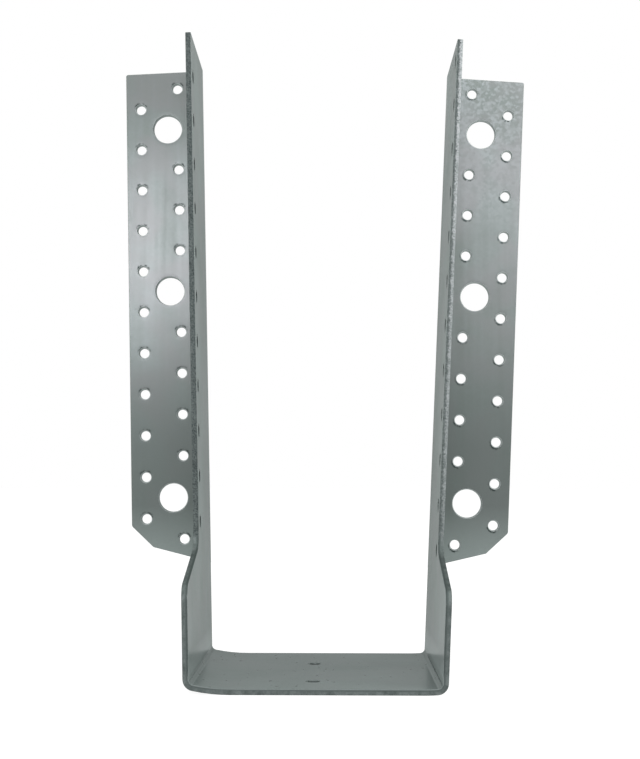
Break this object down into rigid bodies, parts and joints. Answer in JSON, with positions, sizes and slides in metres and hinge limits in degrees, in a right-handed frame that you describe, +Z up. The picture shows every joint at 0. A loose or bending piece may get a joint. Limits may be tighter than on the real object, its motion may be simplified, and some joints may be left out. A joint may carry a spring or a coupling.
{
  "type": "joist hanger",
  "caption": "Heavy face-fix joist hanger folded from one piece of galvanised sheet steel: a seat, two tall perforated sides and two outward nailing flanges.",
  "frame": {"origin": "the middle of the seat's underside, which the hanger stands on", "axes": "+X to the right across the joist as seen from the joist side, +Y along the joist towards the header, +Z up the sides"},
  "size_m": [0.1954, 0.1101, 0.2849],
  "materials": {
    "galvanised_steel": "hot-dip galvanised sheet with fine spangle, semi-gloss, with bare sheared edges"
  },
  "bodies": {
    "root": {"hanger": "galvanised_steel"}
  },
  "joints": []
}
